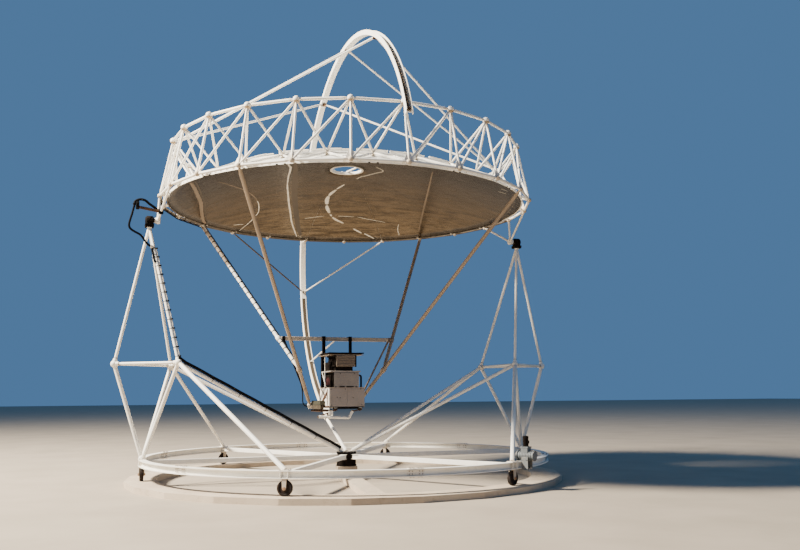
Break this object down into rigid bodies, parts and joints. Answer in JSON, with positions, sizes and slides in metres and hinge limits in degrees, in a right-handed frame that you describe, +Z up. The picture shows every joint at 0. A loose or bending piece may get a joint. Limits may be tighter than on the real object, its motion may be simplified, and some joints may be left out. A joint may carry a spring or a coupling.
{
  "type": "solar dish concentrator on a wheeled turntable, stowed face down",
  "caption": "Face-down mirror dish in a ring truss on two lattice towers, with an engine package at its focus, on a wheeled ring turntable.",
  "frame": {"origin": "centre of the turntable at ground level", "axes": "+Z up along the azimuth axis, X along the elevation axis from the left tower to the right, -Y towards the front"},
  "size_m": [10.6606, 9.925, 10.6579],
  "materials": {
    "concrete": "weathered sandy concrete",
    "white_steel": "chalky white paint with rust at the joints",
    "dark_steel": "black and rusty steel",
    "wheel_steel": "rusty steel wheel",
    "gearbox_paint": "blue-grey machine paint",
    "engine_paint": "dull grey-beige sheet metal",
    "mirror_face": "aged glass mirror on a white shell"
  },
  "bodies": {
    "base": {"concrete_foundation": "concrete", "pivot_block": "concrete", "centre_pin": "dark_steel"},
    "turntable": {"ring_beam_right": "white_steel", "ring_beam_back_right": "white_steel", "ring_beam_back_left": "white_steel", "ring_beam_left": "white_steel", "ring_beam_front_left": "white_steel", "ring_beam_front_right": "white_steel", "hub_and_spokes": "white_steel", "left_upper_tripod": "white_steel", "left_foot_tripod": "white_steel", "left_front_post": "white_steel", "left_back_brace": "white_steel", "left_hub_braces": "white_steel", "left_bearing": "dark_steel", "right_upper_tripod": "white_steel", "right_foot_tripod": "white_steel", "right_front_post": "white_steel", "right_back_brace": "white_steel", "right_hub_braces": "white_steel", "right_bearing": "dark_steel", "azimuth_gearbox": "gearbox_paint", "azimuth_motor": "dark_steel", "arc_drive": "white_steel", "elevation_cable": "dark_steel"},
    "roller_right": {"wheel_right": "wheel_steel"},
    "roller_back_right": {"wheel_back_right": "wheel_steel"},
    "roller_back_left": {"wheel_back_left": "wheel_steel"},
    "roller_left": {"wheel_left": "wheel_steel"},
    "roller_front_left": {"wheel_front_left": "wheel_steel"},
    "roller_front_right": {"wheel_front_right": "wheel_steel"},
    "dish": {"mirror_quarter_1": "mirror_face", "mirror_quarter_2": "mirror_face", "mirror_quarter_3": "mirror_face", "mirror_quarter_4": "mirror_face", "truss_quarter_1": "white_steel", "truss_quarter_2": "white_steel", "truss_quarter_3": "white_steel", "truss_quarter_4": "white_steel", "drive_arc_1": "white_steel", "drive_arc_2": "white_steel", "drive_arc_3": "white_steel", "arc_braces_left": "white_steel", "arc_braces_right": "white_steel", "arc_stay_left": "white_steel", "arc_stay_right": "white_steel", "far_strut_left": "white_steel", "far_strut_right": "white_steel", "near_strut_left": "white_steel", "near_strut_right": "white_steel", "engine_frame": "white_steel", "engine_lower_housing": "engine_paint", "engine_middle_housing": "engine_paint", "engine_upper_housing": "engine_paint", "engine_side_machinery": "dark_steel", "receiver_plate": "dark_steel", "yoke_left": "dark_steel", "yoke_right": "dark_steel"}
  },
  "joints": [
    {"name": "azimuth", "type": "hinge", "parent": "base", "child": "turntable", "pos_m": [0, 0, 0.5], "axis": [0, 0, 1], "range_deg": [-180, 180]},
    {"name": "elevation", "type": "hinge", "parent": "turntable", "child": "dish", "pos_m": [0, 0, 5.864], "axis": [-1, 0, 0], "range_deg": [0, 180]},
    {"name": "roll_right", "type": "hinge", "parent": "turntable", "child": "roller_right", "pos_m": [4.6, 0, 0.2653], "axis": [-1, 0, 0], "range_deg": [-5720, 5720]},
    {"name": "roll_back_right", "type": "hinge", "parent": "turntable", "child": "roller_back_right", "pos_m": [2.3, 3.98372, 0.2653], "axis": [-0.5, -0.866, 0], "range_deg": [-5720, 5720]},
    {"name": "roll_back_left", "type": "hinge", "parent": "turntable", "child": "roller_back_left", "pos_m": [-2.3, 3.98372, 0.2653], "axis": [0.5, -0.866, 0], "range_deg": [-5720, 5720]},
    {"name": "roll_left", "type": "hinge", "parent": "turntable", "child": "roller_left", "pos_m": [-4.6, 0, 0.2653], "axis": [1, 0, 0], "range_deg": [-5720, 5720]},
    {"name": "roll_front_left", "type": "hinge", "parent": "turntable", "child": "roller_front_left", "pos_m": [-2.3, -3.98372, 0.2653], "axis": [0.5, 0.866, 0], "range_deg": [-5720, 5720]},
    {"name": "roll_front_right", "type": "hinge", "parent": "turntable", "child": "roller_front_right", "pos_m": [2.3, -3.98372, 0.2653], "axis": [-0.5, 0.866, 0], "range_deg": [-5720, 5720]}
  ],
  "couplings": [
    {"joint": "roll_right", "follows": "azimuth", "ratio": 31.724},
    {"joint": "roll_back_right", "follows": "azimuth", "ratio": 31.724},
    {"joint": "roll_back_left", "follows": "azimuth", "ratio": 31.724},
    {"joint": "roll_left", "follows": "azimuth", "ratio": 31.724},
    {"joint": "roll_front_left", "follows": "azimuth", "ratio": 31.724},
    {"joint": "roll_front_right", "follows": "azimuth", "ratio": 31.724}
  ]
}
